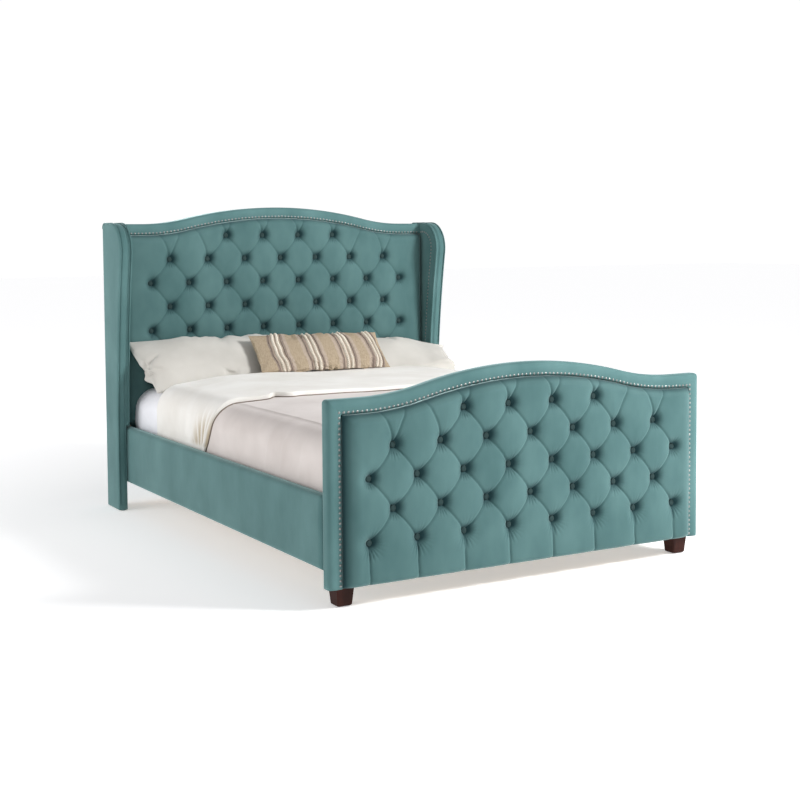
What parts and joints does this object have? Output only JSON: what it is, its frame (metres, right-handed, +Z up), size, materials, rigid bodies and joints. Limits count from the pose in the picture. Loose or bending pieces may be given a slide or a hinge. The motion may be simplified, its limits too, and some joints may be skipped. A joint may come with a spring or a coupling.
{
  "type": "upholstered headboard bed",
  "caption": "Queen bed with a camelback button-tufted winged headboard, matching low footboard with nail trim, padded side rails, slatted base and made-up bedding.",
  "frame": {"origin": "on the floor, midway across the width and midway along the length", "axes": "+X across the bed to its right as seen from the foot, +Y towards the head, +Z up"},
  "size_m": [1.766, 2.273, 1.4338],
  "materials": {
    "velvet": "soft teal velvet with a bright nap at grazing angles",
    "nickel_nails": "polished nickel domes",
    "espresso_wood": "satin espresso stain",
    "pine": "planed softwood",
    "plywood": "sanded plywood",
    "black_steel": "black powder coat",
    "zinc_steel": "zinc plated",
    "glide_plastic": "moulded",
    "mattress_ticking": "quilted ticking",
    "white_cotton": "smooth percale",
    "duvet_cotton": "soft washed cotton, cream",
    "pillow_cotton": "soft washed cotton, warm white",
    "woven_stripe": "hand-woven tan cloth with braided bands"
  },
  "bodies": {
    "frame": {"beam_hangers": "black_steel", "centre_beam": "pine", "centre_leg_front": "pine", "centre_leg_rear": "pine", "footboard_back_cover": "velvet", "footboard_border_left": "velvet", "footboard_border_right": "velvet", "footboard_bottom_rail": "pine", "footboard_buttons": "velvet", "footboard_nails": "nickel_nails", "footboard_panel": "plywood", "footboard_stile_left": "pine", "footboard_stile_right": "pine", "footboard_top_border": "velvet", "footboard_top_rail": "pine", "footboard_tufted_pad": "velvet", "frame_bolts": "zinc_steel", "front_leg_left": "espresso_wood", "front_leg_right": "espresso_wood", "headboard_back_cover": "velvet", "headboard_bottom_rail": "pine", "headboard_buttons": "velvet", "headboard_nails": "nickel_nails", "headboard_panel": "plywood", "headboard_post_left": "pine", "headboard_post_right": "pine", "headboard_top_border": "velvet", "headboard_top_rail": "pine", "headboard_tufted_pad": "velvet", "leg_blocks": "pine", "leg_glides": "glide_plastic", "rail_brackets": "black_steel", "rail_cover_left": "velvet", "rail_cover_right": "velvet", "side_rail_left": "pine", "side_rail_right": "pine", "slat_ledge_left": "pine", "slat_ledge_right": "pine", "slat_screws": "zinc_steel", "slats": "pine", "wing_core_left": "pine", "wing_core_right": "pine", "wing_front_band_left": "velvet", "wing_front_band_right": "velvet", "wing_glides": "glide_plastic", "wing_lining_left": "velvet", "wing_lining_right": "velvet", "wing_outer_cover_left": "velvet", "wing_outer_cover_right": "velvet", "wing_piping_left": "velvet", "wing_piping_right": "velvet"},
    "mattress": {"mattress": "mattress_ticking", "fitted_sheet": "white_cotton"},
    "duvet": {"duvet": "duvet_cotton"},
    "pillow_left": {"pillow_left": "pillow_cotton"},
    "pillow_right": {"pillow_right": "pillow_cotton"},
    "lumbar_pillow": {"lumbar_pillow": "woven_stripe"},
    "levelling_foot_front": {"levelling_foot_front": "glide_plastic"},
    "levelling_foot_rear": {"levelling_foot_rear": "glide_plastic"}
  },
  "joints": [
    {"name": "mattress_lift", "type": "slide", "parent": "frame", "child": "mattress", "axis": [0, 0, 1], "range_m": [0, 0.55]},
    {"name": "duvet_lift", "type": "slide", "parent": "mattress", "child": "duvet", "axis": [0, 0, 1], "range_m": [0, 0.3]},
    {"name": "pillow_left_lift", "type": "slide", "parent": "duvet", "child": "pillow_left", "axis": [0, 0, 1], "range_m": [0, 0.3]},
    {"name": "pillow_right_lift", "type": "slide", "parent": "pillow_left", "child": "pillow_right", "axis": [0, 0, 1], "range_m": [0, 0.3]},
    {"name": "lumbar_pillow_lift", "type": "slide", "parent": "pillow_right", "child": "lumbar_pillow", "axis": [0, 0, 1], "range_m": [0, 0.3]},
    {"name": "levelling_screw_front", "type": "slide", "parent": "frame", "child": "levelling_foot_front", "axis": [0, 0, -1], "range_m": [0, 0.015]},
    {"name": "levelling_screw_rear", "type": "slide", "parent": "frame", "child": "levelling_foot_rear", "axis": [0, 0, -1], "range_m": [0, 0.015]}
  ]
}
